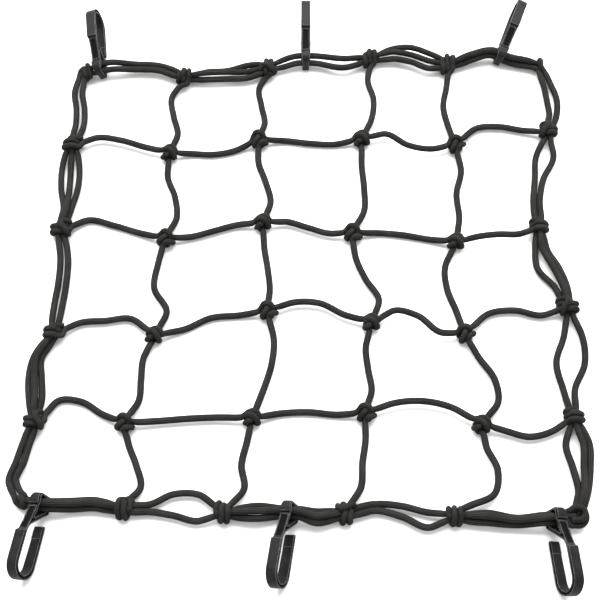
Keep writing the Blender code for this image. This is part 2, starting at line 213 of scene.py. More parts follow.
def all_strands():
    """Every strand by its name of kind, line, span and number: its two knots and its route."""
    strands = {}
    for row, spans in enumerate(ACROSS, start=1):
        for span, (*bows, lift) in enumerate(spans):
            first, last = (row, span), (row, span + 1)
            strands["across", row, span, 0] = (first, last, [
                waypoint(knot_point(first), knot_point(last), share, Vector((0, 1, 0)), bow, lift)
                for share, bow in zip(SHARES, bows)])
    for column, spans in enumerate(DOWN, start=1):
        for span, (*bows, lift) in enumerate(spans):
            first, last = (span, column), (span + 1, column)
            strands["down", column, span, 0] = (first, last, [
                waypoint(knot_point(first), knot_point(last), share, Vector((1, 0, 0)), bow, lift)
                for share, bow in zip(SHARES, bows)])
    for edge, bow_way, line, bundles in EDGES:
        for span, bundle in enumerate(bundles):
            first = (line, span) if edge in ("far", "near") else (span, line)
            last = (line, span + 1) if edge in ("far", "near") else (span + 1, line)
            routes = bundle_routes(edge, span, knot_point(first), knot_point(last), bow_way,
                                   bundle)
            for number, route in enumerate(routes):
                strands[edge, line, span, number] = (first, last, route)
    return strands


def reach(knot):
    """How far from a knot's middle its strands run free."""
    return EDGE_REACH if 0 in knot or LAST in knot else MESH_REACH


def spread_leads(leads):
    """Turn the directions in which strands leave a knot apart until each pair has room."""
    least = math.radians(LEAD_ANGLE)
    for _ in range(SPREAD_ROUNDS):
        for a, b in combinations(range(len(leads)), 2):
            angle = leads[a].angle(leads[b])
            if angle < least:
                axis = leads[a].cross(leads[b]).normalized()
                push = (least - angle) * SPREAD_PUSH
                leads[a] = Matrix.Rotation(-push, 3, axis) @ leads[a]
                leads[b] = Matrix.Rotation(push, 3, axis) @ leads[b]
        for lead in leads:
            lead.z = min(max(lead.z, DOWN_LIMIT), UP_LIMIT)
            lead.normalize()


def smooth_path(points, first_way, last_way, step):
    """Points on a smooth curve through the given ones, leaving and arriving in the given ways."""
    ways = [first_way]
    for before, here, after in zip(points, points[1:], points[2:]):
        near, far = (here - before).length, (after - here).length
        ways.append(((here - before) / near * far + (after - here) / far * near) / (near + far))
    ways.append(last_way)
    path = [points[0]]
    for here, there, way, next_way in zip(points, points[1:], ways, ways[1:]):
        length = (there - here).length
        steps = max(1, round(length / step))
        piece = interpolate_bezier(here, here + way * length / 3,
                                   there - next_way * length / 3, there, steps + 1)
        path.extend(piece[1:])
    return path


# How the cord turns inside a knot. Points from the knot's middle, with heights above the surface.
# Mesh knots, in x, y, are tied in two ways. In the first the strand across makes an arch over the
# strand down, which makes an overhand knot below it; in the second each takes a turn of its own.
MESH_TIES = (
    {"across": ((-4.2, 2.2, 7.4), (-1.4, 4.6, 9.2), (1.8, 4.6, 9.8), (4.3, 2.2, 8.0),
                (5.0, 0.3, 6.8)),
     "down": ((1.5, 4.4, 5.4), (0.2, 1.0, 8.2), (-2.0, -2.4, 9.6), (-4.2, -4.4, 7.2),
              (-3.8, -3.4, 3.4), (-0.6, -1.4, 2.3), (3.2, -2.2, 2.9), (5.2, -3.6, 5.8),
              (3.9, -2.6, 9.4), (0.8, -0.2, 12.0), (-2.9, 1.2, 10.6), (-5.2, 0.6, 6.8),
              (-4.4, -0.6, 3.0), (-1.6, -4.2, 3.2))},
    {"across": ((-4.4, 2.4, 8.0), (-0.6, 3.6, 10.6), (3.4, 2.0, 9.6), (4.9, -0.6, 6.0),
                (2.4, -2.8, 2.6), (-1.4, -1.0, 2.4), (-3.4, 2.2, 3.4), (-1.6, 4.6, 5.6),
                (2.4, 3.2, 5.8)),
     "down": ((2.2, 4.4, 8.2), (0.8, 1.2, 10.8), (-1.8, -2.6, 10.0), (-4.4, -4.2, 6.6),
              (-3.0, -2.6, 2.8), (1.6, -0.2, 2.4), (5.2, 0.2, 4.6), (4.8, -2.6, 8.6),
              (1.4, -4.4, 9.2), (-0.6, -4.6, 6.4))},
)
# Edge knots, along the edge and inwards: the strand from inside the net takes two turns round the
# bundle, side by side. Then it leaves along the edge as a third strand, or crosses over its turns
# and is tucked in under the first. The bundle's own two strands pass straight through.
WRAP_TURNS = (
    (2.6, 4.6, 8.8), (2.4, 1.2, 10.8), (2.2, -3.4, 9.8), (1.9, -5.3, 6.2), (0.8, -3.9, 2.6),
    (-0.4, 0.0, 2.2), (-1.6, 4.2, 3.0), (-2.2, 5.4, 6.2), (-2.4, 3.8, 9.6), (-2.2, 0.2, 10.9),
    (-2.1, -3.6, 9.8), (-2.6, -5.3, 6.0), (-3.4, -3.9, 2.6), (-3.8, 0.0, 2.2), (-4.0, 4.0, 3.0),
)
WRAP_TUCK = ((-5.0, 5.2, 6.0), (-5.6, 3.4, 8.9), (-4.6, 0.6, 10.6), (-1.8, 0.8, 12.2),
             (1.4, 3.2, 11.6), (3.2, 4.6, 8.4), (2.8, 5.0, 5.0))
WRAP_LEAVE = ((-4.6, 5.0, 6.4), (-5.0, 2.6, 9.3), (-5.8, -0.4, 9.6))
PASS_THROUGH = (((0.0, 1.9, 5.9),), ((0.0, -1.9, 6.7),))
THIRD_TUCK = ((3.6, 0.0, 8.4), (0.6, 0.0, 7.2))
# Corner knots, towards the bundle that the border comes in by and towards the one it leaves by.
# The inner strand only bends; the outer one takes a turn round both, in its own way at each corner.
# Both start and end inside the far left knot.
BORDER_START = (((0.8, 5.4, 6.2), (0.6, 2.4, 5.8)), ((-0.8, 5.4, 6.8), (-0.4, 2.4, 6.4)))
BORDER_END = (((0.6, 5.0, 5.6),), ((0.8, 5.4, 9.6), (3.4, 4.8, 6.6), (1.8, 3.8, 4.8)))
CORNER_INNER = ((4.0, 2.6, 5.6), (1.4, 0.6, 6.6), (0.6, 3.6, 5.8))
CORNER_OUTER = {
    (0, 0): ((-3.2, 0.2, 6.5), (-1.2, 1.6, 10.4), (3.0, 2.4, 9.0), (4.9, 2.4, 5.2), (2.6, 2.8, 2.3),
             (-2.6, 3.8, 2.4), (-4.4, 4.6, 5.8), (-2.2, 5.4, 9.8)),
    (0, 5): ((4.2, 0.8, 4.6), (1.8, 2.2, 2.5), (0.2, -1.4, 2.4), (-0.6, -4.4, 5.0),
             (-0.6, -3.4, 9.4), (-0.8, 0.8, 10.6), (-1.0, 4.2, 8.6)),
    (5, 5): ((3.0, -6.2, 7.6), (-1.6, -6.6, 7.0), (-5.8, -3.8, 6.6), (-7.0, 0.6, 6.8),
             (-4.6, 5.0, 7.6), (0.2, 6.8, 9.4), (4.8, 4.6, 11.4), (6.0, -0.6, 12.6),
             (3.0, -5.0, 12.2), (-2.4, -4.0, 11.6), (-3.8, 1.0, 11.4), (-2.4, 5.0, 10.2)),
    (5, 0): ((5.4, -2.2, 9.8), (4.6, -4.4, 5.8), (3.8, -2.6, 2.4), (2.8, 2.6, 2.3), (2.4, 4.9, 5.2),
             (2.4, 3.0, 9.0), (1.6, -1.2, 10.4), (0.2, -3.2, 6.5)),
}


class Cord:
    """One run of cord: its points and the share of its girth that it has at each."""

    def __init__(self):
        self.points = []
        self.girths = []

    def add(self, points, girth):
        fresh = points[1:] if self.points else points
        self.points += fresh
        self.girths += [girth] * len(fresh)

    def turn_back(self):
        self.points.reverse()
        self.girths.reverse()


SPAN_STEP = 2.2
KNOT_STEP = 1.0
FREE_GIRTH = 1.0
KNOT_GIRTH = 0.84

strands = all_strands()
leads = {}
lead_of = {}
for name, (first, last, route) in strands.items():
    for knot, toward in ((first, route[0]), (last, route[-1])):
        ways = leads.setdefault(knot, [])
        lead_of[name, knot] = len(ways)
        ways.append((toward - knot_point(knot)).normalized())
for ways in leads.values():
    spread_leads(ways)


def leaving(name, knot):
    """Where and in which way a strand leaves a knot."""
    lead = leads[knot][lead_of[name, knot]]
    port = knot_point(knot) + lead * reach(knot)
    first, _, route = strands[name]
    onward = (route[0] if knot == first else route[-1]) - port
    return port, (lead + onward.normalized() * STRAIGHTENED).normalized()


def add_span(cord, name, start):
    """Run the cord along a strand from one of its knots to the other."""
    first, last, route = strands[name]
    end = last if start == first else first
    points = route if start == first else route[::-1]
    port, way = leaving(name, start)
    far_port, far_way = leaving(name, end)
    cord.add(smooth_path([port, *points, far_port], way, -far_way, SPAN_STEP), FREE_GIRTH)
    return end


def add_turns(cord, knot, into, out_of, turns, axes):
    """Run the cord through a knot: in along one strand, round its turns, out along another."""
    middle = knot_point(knot)
    points = []
    for along_first, along_second, height in turns:
        point = middle + axes[0] * along_first + axes[1] * along_second
        point.z = height
        points.append(point)
    first_way = last_way = None
    if into:
        port, way = leaving(into, knot)
        points = [port, *points]
        first_way = -way
    if out_of:
        port, way = leaving(out_of, knot)
        points = [*points, port]
        last_way = way
    first_way = first_way or (points[1] - points[0]).normalized()
    last_way = last_way or (points[-1] - points[-2]).normalized()
    cord.add(smooth_path(points, first_way, last_way, KNOT_STEP), KNOT_GIRTH)


X_WAY, Y_WAY = Vector((1, 0, 0)), Vector((0, 1, 0))
cords = []


def edge_knot_roles(knot):
    """For a knot on an edge but no corner: its edge and line, the spans before and after it, and
    the ways along the edge and inwards."""
    row, column = knot
    if row in (0, LAST):
        edge, inward = ("far", -Y_WAY) if row == 0 else ("near", Y_WAY)
        return edge, row, column - 1, column, X_WAY, inward
    edge, inward = ("left", X_WAY) if column == 0 else ("right", -X_WAY)
    return edge, column, row - 1, row, -Y_WAY, inward


def mesh_turn_axes(knot):
    """The knot's own x and y, turned with the strands that leave it."""
    row, column = knot
    square_on = {("across", row, column, 0): 0, ("across", row, column - 1, 0): 180,
                 ("down", column, row - 1, 0): 90, ("down", column, row, 0): -90}
    swing = 0.0
    for name, angle in square_on.items():
        way = leaving(name, knot)[1]
        turned = math.degrees(math.atan2(way.y, way.x)) - angle
        swing += (turned + 180) % 360 - 180
    turn = Matrix.Rotation(math.radians(swing / len(square_on)), 3, "Z")
    return turn @ X_WAY, turn @ Y_WAY


# third strands that a cord runs along, each with the knots at its ends
thirds_run = set()


def tuck_third(cord, knot, name):
    """End a third strand inside the knot at its far end."""
    thirds_run.add((name, knot))
    way = leaving(name, knot)[1]
    toward = Vector((way.x, way.y, 0)).normalized()
    side = Vector((-toward.y, toward.x, 0))
    add_turns(cord, knot, name, None, THIRD_TUCK, (toward, side))


def tie_to_edge(cord, knot, inner):
    """Wrap an inner strand round the edge bundle, then run on as its third strand or tuck in."""
    edge, line, before, after, along, inward = edge_knot_roles(knot)
    thirds = [(edge, line, span, THIRD) for span in (before, after)]
    free = [name for name in thirds if name in strands and (name, knot) not in thirds_run]
    if not free:
        add_turns(cord, knot, inner, None, WRAP_TURNS + WRAP_TUCK, (along, inward))
        return
    third = free[0]
    thirds_run.add((third, knot))
    way = 1 if leaving(third, knot)[1].dot(along) > 0 else -1
    turns = [(a * way, b, height) for a, b, height in WRAP_TURNS + WRAP_LEAVE]
    add_turns(cord, knot, inner, third, turns, (along, inward))
    far_end = add_span(cord, third, knot)
    tuck_third(cord, far_end, third)


def run_inner(kind, line):
    """A cord across or down the net, from one edge to the other, tied to both edges."""
    knot = (line, 0) if kind == "across" else (0, line)
    cord = Cord()
    tie_to_edge(cord, knot, (kind, line, 0, 0))
    cord.turn_back()
    for span in range(LAST):
        name = (kind, line, span, 0)
        knot = add_span(cord, name, knot)
        if span < LAST - 1:
            following = (kind, line, span + 1, 0)
            tie = MESH_TIES[sum(knot) % 2]
            add_turns(cord, knot, name, following, tie[kind], mesh_turn_axes(knot))
    tie_to_edge(cord, knot, name)
    cords.append(cord)


for line in range(1, LAST):
    run_inner("across", line)
for line in range(1, LAST):
    run_inner("down", line)
laid = {name for name, _ in thirds_run}
for name in strands:
    if name[3] == THIRD and name not in laid:
        start, end, _ = strands[name]
        tail = Cord()
        tuck_third(tail, start, name)
        tail.turn_back()
        far_end = add_span(tail, name, start)
        tuck_third(tail, far_end, name)
        cords.append(tail)


def corner_axes(name, following, knot):
    """From a corner, towards the bundle that the border comes in by and the one it leaves by."""
    ways = (leaving(name, knot)[1], leaving(following, knot)[1])
    return [Vector((round(way.x), round(way.y), 0)).normalized() for way in ways]


def run_border(number):
    """One strand round all four edges, with both its ends tucked into the far left knot. Border 0
    keeps inside border 1."""
    ring = [("far", 0, span) for span in range(LAST)]
    ring += [("right", LAST, span) for span in range(LAST)]
    ring += [("near", LAST, span) for span in reversed(range(LAST))]
    ring += [("left", 0, span) for span in reversed(range(LAST))]
    outer_side = {"far": 1, "right": 1, "near": 0, "left": 0}
    names = []
    for edge, line, span in ring:
        strand = outer_side[edge] if number == 1 else 1 - outer_side[edge]
        names.append((edge, line, span, strand))
    knot = (0, 0)
    cord = Cord()
    add_turns(cord, knot, names[0], None, BORDER_START[number],
              corner_axes(names[-1], names[0], knot))
    cord.turn_back()
    for name, following in zip(names, names[1:] + names[:1]):
        knot = add_span(cord, name, knot)
        row, column = knot
        if row in (0, LAST) and column in (0, LAST):
            turns = CORNER_OUTER[knot] if number == 1 else CORNER_INNER
            axes = corner_axes(name, following, knot)
            if knot == (0, 0):
                add_turns(cord, knot, name, None, turns + BORDER_END[number], axes)
            else:
                add_turns(cord, knot, name, following, turns, axes)
        else:
            *_, along, inward = edge_knot_roles(knot)
            add_turns(cord, knot, name, following, PASS_THROUGH[number], (along, inward))
    cords.append(cord)


run_border(0)
run_border(1)

# Pulling the knots tight: every point inside a knot is drawn towards its neighbours on the cord
# and pushed off the other turns, until they touch with the sheath just pressed in.
CORD_APART = 4.0
TIGHTEN_ROUNDS = 25
TIGHTEN_PULL = 0.12
TIGHTEN_PUSH = 0.35
LONGEST_MOVE = 0.6
SAME_TURN = 6
LOWEST_MIDDLE = 2.3


def tighten(runs):
    places = [(run, n) for run in runs for n in range(len(run.points))]
    for _ in range(TIGHTEN_ROUNDS):
        tree = KDTree(len(places))
        for number, (run, n) in enumerate(places):
            tree.insert(run.points[n], number)
        tree.balance()
        moves = []
        for run, n in places:
            if n in (0, len(run.points) - 1) or FREE_GIRTH in run.girths[n - 1:n + 2]:
                continue
            here = run.points[n]
            move = ((run.points[n - 1] + run.points[n + 1]) / 2 - here) * TIGHTEN_PULL
            for there, number, apart in tree.find_range(here, CORD_APART):
                other, m = places[number]
                if (other is run and abs(m - n) <= SAME_TURN) or apart == 0:
                    continue
                move += (here - there) / apart * (CORD_APART - apart) * TIGHTEN_PUSH
            if move.length > LONGEST_MOVE:
                move *= LONGEST_MOVE / move.length
            moves.append((run, n, here + move))
        for run, n, place in moves:
            place.z = max(place.z, LOWEST_MIDDLE)
            run.points[n] = place


# Pulling in leaves a kink where a cord comes out of its knot. Stretched cord has none, so the
# points on both sides of that place are evened out.
EASE_REACH = 4
EASE_ROUNDS = 6


def evened(before, here, after):
    return (before + 2 * here + after) / 4


def ease_kinks(runs):
    for run in runs:
        places = run.points
        exits = [n for n in range(1, len(places)) if run.girths[n] != run.girths[n - 1]]
        near = {n + shift for n in exits for shift in range(-EASE_REACH, EASE_REACH)}
        near = sorted(n for n in near if 0 < n < len(places) - 1)
        for _ in range(EASE_ROUNDS):
            eased = [evened(*places[n - 1:n + 2]) for n in near]
            for n, place in zip(near, eased):
                places[n] = place


tighten(cords)
ease_kinks(cords)

# The sheath is never quite even: it swells and thins a little along the cord, in its own way in
# each run. Where a knot lets go of it, it swells to its free girth over a few steps.
UNEVEN = 0.035
UNEVEN_LENGTH = 28.0
NEXT_RUN = 7.3
GIRTH_BLEND = 3
CORD_ROUNDNESS = 5
CORD_SIDES = 4 + 2 * CORD_ROUNDNESS


def softened(girths):
    for _ in range(GIRTH_BLEND):
        inside = [evened(*three) for three in zip(girths, girths[1:], girths[2:])]
        girths = [girths[0], *inside, girths[-1]]
    return girths


def cord_mesh(name, runs):
    """Round tubes along all the runs, as one mesh."""
    curve = bpy.data.curves.new(name, "CURVE")
    curve.dimensions = "3D"
    curve.bevel_depth = CORD_DIAMETER / 2 * MM
    curve.bevel_resolution = CORD_ROUNDNESS
    curve.use_fill_caps = True
    for number, run in enumerate(runs):
        spline = curve.splines.new("POLY")
        spline.points.add(len(run.points) - 1)
        length = 0.0
        before = run.points[0]
        for point, place, girth in zip(spline.points, run.points, softened(run.girths)):
            length += (place - before).length
            before = place
            point.co = (*(place * MM), 1)
            lump = noise.noise(Vector((length / UNEVEN_LENGTH, number * NEXT_RUN, 0)))
            point.radius = girth * (1 + UNEVEN * lump)
    item = bpy.data.objects.new(name, curve)
    bpy.context.scene.collection.objects.link(item)
    bpy.context.view_layer.update()
    evaluated = item.evaluated_get(bpy.context.evaluated_depsgraph_get())
    mesh = bpy.data.meshes.new_from_object(evaluated)
    bpy.data.objects.remove(item)
    return mesh


SAME_PLACE = 0.001


def lay_sheath_map(mesh, runs):
    """A UV map in millimetres: across is once round the cord, up is the way along it."""
    marks = []
    for run in runs:
        at = 0.0
        marks.append(at)
        for here, there in zip(run.points, run.points[1:]):
            at += (there - here).length
            marks.append(at)
    around = CORD_DIAMETER * math.pi
    end_caps = len(mesh.vertices) - len(marks) * CORD_SIDES
    uv = mesh.uv_layers[0].data
    for polygon in mesh.polygons:
        sides = [v % CORD_SIDES for v in polygon.vertices]
        wraps = max(sides) - min(sides) > CORD_SIDES / 2 and min(polygon.vertices) >= end_caps
        for loop, vertex, side in zip(polygon.loop_indices, polygon.vertices, sides):
            turn = side + CORD_SIDES if wraps and side < CORD_SIDES / 2 else side
            ring = max(vertex - end_caps, 0) // CORD_SIDES
            uv[loop].uv = (turn / CORD_SIDES * around, marks[ring])
    bm = bmesh.new()
    bm.from_mesh(mesh)
    bmesh.ops.remove_doubles(bm, verts=bm.verts, dist=SAME_PLACE * MM)
    bm.to_mesh(mesh)
    bm.free()


net_mesh = cord_mesh("cord_net", cords)
lay_sheath_map(net_mesh, cords)


def from_hex(code):
    """An sRGB colour such as 2B2A29 as the linear colour that shaders use."""
    levels = [int(code[i:i + 2], 16) / 255 for i in (0, 2, 4)]
    linear = [c / 12.92 if c <= 0.04045 else ((c + 0.055) / 1.055) ** 2.4 for c in levels]
    return [*linear, 1.0]


def add_node(tree, kind, links=(), sets=(), **settings):
    """Add one node: its settings, its socket values and what feeds its sockets."""
    node = tree.nodes.new(kind)
    for setting, value in settings.items():
        setattr(node, setting, value)
    for socket, value in sets:
        node.inputs[socket].default_value = value
    for socket, source in links:
        tree.links.new(source, node.inputs[socket])
    return node


def per_metre(size):
    """The scale of a noise pattern whose marks are of this size in millimetres."""
    return 1 / (size * MM)


def blank_material(name):
    material = bpy.data.materials.new(name)
    material.use_nodes = True
    material.node_tree.nodes.clear()
    return material, material.node_tree


# Woven polyester sheath over rubber: the yarns of 16 carriers lie in columns of small Vs along the
# cord. Each arm of a V is 1 mm wide, and the Vs follow each other every 1 mm; they are drawn a
# third coarser, so they show. The yarn is matt, and rubbing has made it paler in patches about a
# centimetre long. Its fuzz of 0.1 mm is drawn 0.4 mm wide.
COLUMNS_ROUND = 12
V_LENGTH = 1.35
V_SLOPE = 0.95
YARN_CROWN = 0.42
COLUMN_CROWN = 0.4
COLUMN_SEAM = 0.25
RUBBED_PATCH = 11.11
RUBBED_SPREAD = (0.3, 0.7)
RUBBED_TONE = (0.65, 1.1)
FUZZ = 0.4
FUZZ_SHARE = 0.3
WEAVE_DEPTH = 0.3
WEAVE_BUMP = 0.6
SEAM_ROUGHNESS = 0.85
YARN_ROUGHNESS = 0.62
POLYESTER_IOR = 1.5
POLYESTER_SHINE = 0.06
SHEATH_MIDDLE_TONE = 0.45
SHEATH_DARK = "080808"
SHEATH_MIDDLE = "1A1A19"
SHEATH_PALE = "363533"


def sheath_material():
    material, tree = blank_material("braided_polyester_sheath")
    sheath = add_node(tree, "ShaderNodeUVMap", uv_map="UVMap").outputs["UV"]
    parts = add_node(tree, "ShaderNodeSeparateXYZ", links=(("Vector", sheath),)).outputs
    columns = add_node(tree, "ShaderNodeMath", operation="MULTIPLY", links=((0, parts["X"]),),
                       sets=((1, COLUMNS_ROUND / (CORD_DIAMETER * math.pi)),)).outputs[0]
    fold = add_node(tree, "ShaderNodeMath", operation="PINGPONG", links=((0, columns),),
                    sets=((1, 1.0),)).outputs[0]
    along = add_node(tree, "ShaderNodeMath", operation="MULTIPLY", links=((0, parts["Y"]),),
                     sets=((1, 1 / V_LENGTH),)).outputs[0]
    slant = add_node(tree, "ShaderNodeMath", operation="MULTIPLY_ADD",
                     links=((0, fold), (2, along)), sets=((1, V_SLOPE),)).outputs[0]
    yarn = add_node(tree, "ShaderNodeMath", operation="PINGPONG", links=((0, slant),),
                    sets=((1, 0.5),)).outputs[0]
    yarn_crown = add_node(tree, "ShaderNodeMapRange", interpolation_type="SMOOTHSTEP",
                          links=(("Value", yarn),),
                          sets=(("From Max", YARN_CROWN),)).outputs["Result"]
    edge = add_node(tree, "ShaderNodeMath", operation="PINGPONG", links=((0, columns),),
                    sets=((1, 0.5),)).outputs[0]
    column_crown = add_node(tree, "ShaderNodeMapRange", interpolation_type="SMOOTHSTEP",
                            links=(("Value", edge),),
                            sets=(("From Max", COLUMN_CROWN),
                                  ("To Min", COLUMN_SEAM))).outputs["Result"]
    weave = add_node(tree, "ShaderNodeMath", operation="MULTIPLY",
                     links=((0, yarn_crown), (1, column_crown))).outputs[0]
    place = add_node(tree, "ShaderNodeTexCoord").outputs["Object"]
    rubbed = add_node(tree, "ShaderNodeTexNoise", links=(("Vector", place),),
                      sets=(("Scale", per_metre(RUBBED_PATCH)), ("Detail", 4.0),
                            ("Roughness", 0.6))).outputs["Fac"]
    patches = add_node(tree, "ShaderNodeMapRange", links=(("Value", rubbed),),
                       sets=(("From Min", RUBBED_SPREAD[0]), ("From Max", RUBBED_SPREAD[1]),
                             ("To Min", RUBBED_TONE[0]),
                             ("To Max", RUBBED_TONE[1]))).outputs["Result"]
    tone = add_node(tree, "ShaderNodeMath", operation="MULTIPLY",
                    links=((0, weave), (1, patches))).outputs[0]
    # The colour follows the weave: dark in the seams and between the Vs, pale on the yarn crowns.
    # This is painted shade in the weave's crevices.
    colour = add_node(tree, "ShaderNodeValToRGB", links=(("Fac", tone),))
    ramp = colour.color_ramp
    ramp.elements[0].position, ramp.elements[0].color = 0.0, from_hex(SHEATH_DARK)
    ramp.elements[1].position, ramp.elements[1].color = 1.0, from_hex(SHEATH_PALE)
    middle = ramp.elements.new(SHEATH_MIDDLE_TONE)
    middle.color = from_hex(SHEATH_MIDDLE)
    fuzz = add_node(tree, "ShaderNodeTexNoise", links=(("Vector", place),),
                    sets=(("Scale", per_metre(FUZZ)), ("Detail", 2.0))).outputs["Fac"]
    height = add_node(tree, "ShaderNodeMath", operation="MULTIPLY_ADD",
                      links=((0, fuzz), (2, weave)), sets=((1, FUZZ_SHARE),)).outputs[0]
    bump = add_node(tree, "ShaderNodeBump", links=(("Height", height),),
                    sets=(("Strength", WEAVE_BUMP),
                          ("Distance", WEAVE_DEPTH * MM))).outputs["Normal"]
    rough = add_node(tree, "ShaderNodeMapRange", links=(("Value", weave),),
                     sets=(("To Min", SEAM_ROUGHNESS),
                           ("To Max", YARN_ROUGHNESS))).outputs["Result"]
    shader = add_node(tree, "ShaderNodeBsdfPrincipled",
                      links=(("Base Color", colour.outputs["Color"]), ("Roughness", rough),
                             ("Normal", bump)),
                      sets=(("IOR", POLYESTER_IOR), ("Specular IOR Level", POLYESTER_SHINE)))
    add_node(tree, "ShaderNodeOutputMaterial", links=(("Surface", shader.outputs["BSDF"]),))
    return material


net_mesh.materials.append(sheath_material())
for polygon in net_mesh.polygons:
    polygon.use_smooth = True
net_object = bpy.data.objects.new("cord_net", net_mesh)
bpy.context.scene.collection.objects.link(net_object)
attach(net_object, "root")
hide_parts("net")

# ==== The six hooks ==============================================================================
# Each is one injection moulding in black nylon: a flat band bent into a J, with grooved sides and a
# pad inside the tip. An upper strap with a sunk face, ending in a catch block, and an under strap
# make its eye. The strands of one bundle pass through the eye, and that alone holds the hook.
HOOK_THICK = 3.4
HOOK_HEIGHT = 24.0
HOOK_FAR = 57.5
OUTER_BEND_STEPS = 32
INNER_BEND_STEPS = 28
SIDE_RIM = 0.75
GROOVE_WALL = 0.15
SIDE_HOLLOW = 1.4
STRAP_RIM = 0.75
STRAP_SINK = 0.7
EDGE_ROUND = 0.38
SHARP_TURN = math.radians(32)
TIP_WIDTH_SHARE = 0.92
STRAP_WIDTH_SHARE = 0.86
NUB_WIDTH_SHARE = 0.6
# where those narrower places lie in the side view
TIP_BELOW = -4
STRAP_ABOVE = 7
STRAP_TOP_ABOVE = 8.6
WEB_FROM = 13
FACING_UP = 0.8
# side views from the eye's centre, outwards and up
SHOULDER_STEP = ((25.4, 16.0), (24.6, 15.9), (24.1, 15.4), (23.8, 14.4))
UPPER_STRAP = ((23.0, 13.8), (20.4, 12.9), (15.8, 11.3), (9.0, 9.75), (3.9, 8.75))
NOTCH = ((3.6, 7.7), (2.8, 7.6))
CATCH_BLOCK = ((2.4, 8.9), (1.8, 9.6), (0.4, 10.0), (-2.6, 9.9), (-4.8, 9.1), (-6.3, 7.5),
               (-7.1, 5.0))
UNDER_STRAP = ((-7.2, -5.4), (-6.8, -6.5), (-5.8, -7.25), (4.6, -7.25), (5.9, -6.8))
THROAT = ((17.4, 8.6), (18.6, 10.1), (20.4, 11.4), (22.6, 12.3), (25.0, 12.6))
TIP_PAD = ((25.4, -5.1), (24.7, -4.65), (17.2, -4.65), (15.9, -5.0), (15.2, -5.8))
TIP_END = ((15.0, -6.9), (15.4, -7.7), (16.4, -8.0))
EYE_HOLE = ((-5.5, -3.4), (-5.2, -4.0), (-4.6, -4.3), (3.9, -4.3), (4.7, -3.8), (12.7, 6.8),
            (12.9, 7.4), (12.3, 7.8), (1.5, 6.2), (-3.9, 6.2), (-5.1, 5.4), (-5.5, 4.2))


def arc(centre, radius, first, last, steps):
    """Points round part of a circle, from the first angle to the last, in degrees."""
    turns = [math.radians(first + (last - first) * step / steps) for step in range(steps + 1)]
    return [(centre[0] + radius * math.cos(t), centre[1] + radius * math.sin(t)) for t in turns]


BEND_MIDDLE = (HOOK_FAR - HOOK_HEIGHT / 2, HOOK_HEIGHT / 2 - EYE_HEIGHT)


def hook_rim():
    """The outside of the hook's side view, from the tip round the bend and back inside it."""
    radius = HOOK_HEIGHT / 2
    rim = [*TIP_END, *arc(BEND_MIDDLE, radius, -90, 90, OUTER_BEND_STEPS)]
    rim += [*SHOULDER_STEP, *UPPER_STRAP, *NOTCH, *CATCH_BLOCK, *UNDER_STRAP, *THROAT]
    rim += [*arc(BEND_MIDDLE, radius - HOOK_THICK, 90, -90, INNER_BEND_STEPS), *TIP_PAD]
    return rim


def width_share(outward, up):
    """The width at a place on the hook as a share of the band's."""
    if up < TIP_BELOW and TIP_END[0][0] <= outward < BEND_MIDDLE[0]:
        along = (outward - TIP_END[0][0]) / (BEND_MIDDLE[0] - TIP_END[0][0])
        return TIP_WIDTH_SHARE + (1 - TIP_WIDTH_SHARE) * along
    if UPPER_STRAP[-1][0] <= outward <= UPPER_STRAP[0][0] and up > STRAP_ABOVE:
        on_top = up > STRAP_TOP_ABOVE and (outward, up) not in THROAT
        return STRAP_WIDTH_SHARE if on_top or outward < WEB_FROM else 1.0
    if outward < CATCH_BLOCK[0][0]:
        along = (CATCH_BLOCK[0][0] - outward) / (CATCH_BLOCK[0][0] - UNDER_STRAP[0][0])
        return 1 - (1 - NUB_WIDTH_SHARE) * along ** 2
    return 1.0


# slots of the hook's materials; the first is the satin of the mould, the second paints a highlight
# on the rounded edges, the third paints shade in the sunk faces
EDGE_HIGHLIGHT_SLOT = 1
RECESS = 2


def sunk(bm, faces, rim, wall, move):
    """Leave a rim round a group of faces and sink what it encloses, with a thin steep wall."""
    for thickness in (rim, wall):
        bmesh.ops.inset_region(bm, faces=faces, thickness=thickness * MM, use_even_offset=True,
                               use_boundary=True)
    # the sunk faces take the recess nylon, painted darker as shade
    for face in faces:
        face.material_index = RECESS
    inner = {vert for face in faces for vert in face.verts}
    bmesh.ops.translate(bm, vec=move, verts=list(inner))


